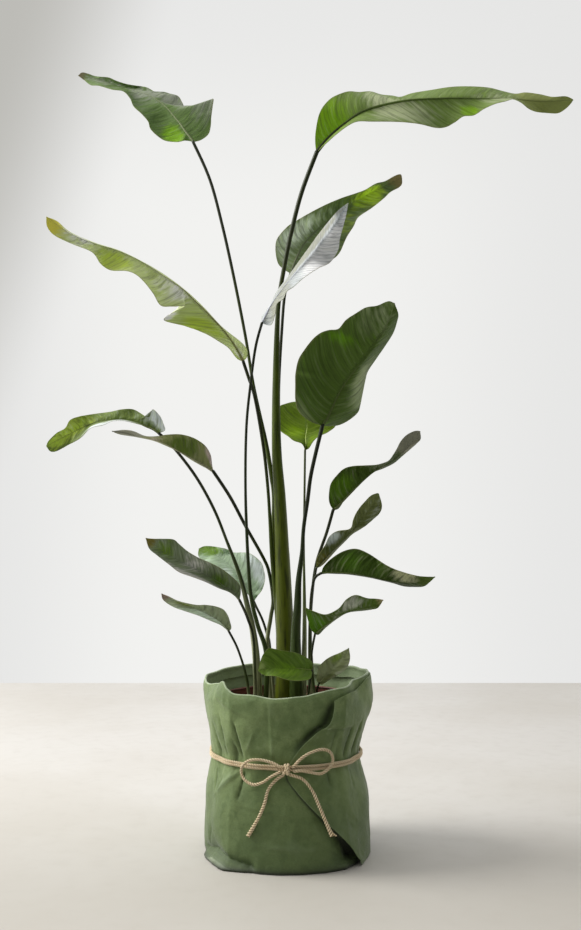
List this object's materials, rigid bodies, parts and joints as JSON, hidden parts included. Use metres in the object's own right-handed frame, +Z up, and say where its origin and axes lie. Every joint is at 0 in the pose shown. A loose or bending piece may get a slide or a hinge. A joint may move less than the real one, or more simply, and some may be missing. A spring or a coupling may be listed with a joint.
{
  "type": "potted bird of paradise",
  "caption": "Leafy bird of paradise house plant on long stalks, in a brown nursery pot inside a green wrap gathered with twine; stands on a floor as decoration.",
  "frame": {"origin": "centre of the wrap's flat foot, on the surface that the plant stands on", "axes": "+Z up, along the plant's height; -Y towards the front, where the wrap is lapped and the bow is tied; +X to the right seen from the front"},
  "size_m": [0.8686, 0.3608, 1.2834],
  "materials": {
    "wrap": "matte pressed sheet, slightly crumpled",
    "nursery_pot": "thin moulded, matte",
    "soil": "loose crumbs of peat and bark",
    "twine": "twisted plant fibre, fuzzy",
    "leaf": "waxy satin with fine cross veins"
  },
  "bodies": {
    "root": {"wrap": "wrap", "nursery_pot": "nursery_pot", "soil": "soil", "twine_band": "twine", "bow_loop_left": "twine", "bow_loop_right": "twine", "bow_tail_left": "twine", "bow_tail_right": "twine", "leaf_top_right": "leaf", "leaf_top_left": "leaf", "leaf_mid_left": "leaf", "leaf_upper_back": "leaf", "leaf_silver": "leaf", "leaf_broad": "leaf", "leaf_pale_back": "leaf", "leaf_left_arch": "leaf", "leaf_left_low_arch": "leaf", "leaf_lower_left": "leaf", "leaf_lower_left_back": "leaf", "leaf_small_left": "leaf", "leaf_right_curl": "leaf", "leaf_right_twist": "leaf", "leaf_right_dark": "leaf", "leaf_lower_right": "leaf", "leaf_front_rim": "leaf", "leaf_right_rim": "leaf"}
  },
  "joints": []
}
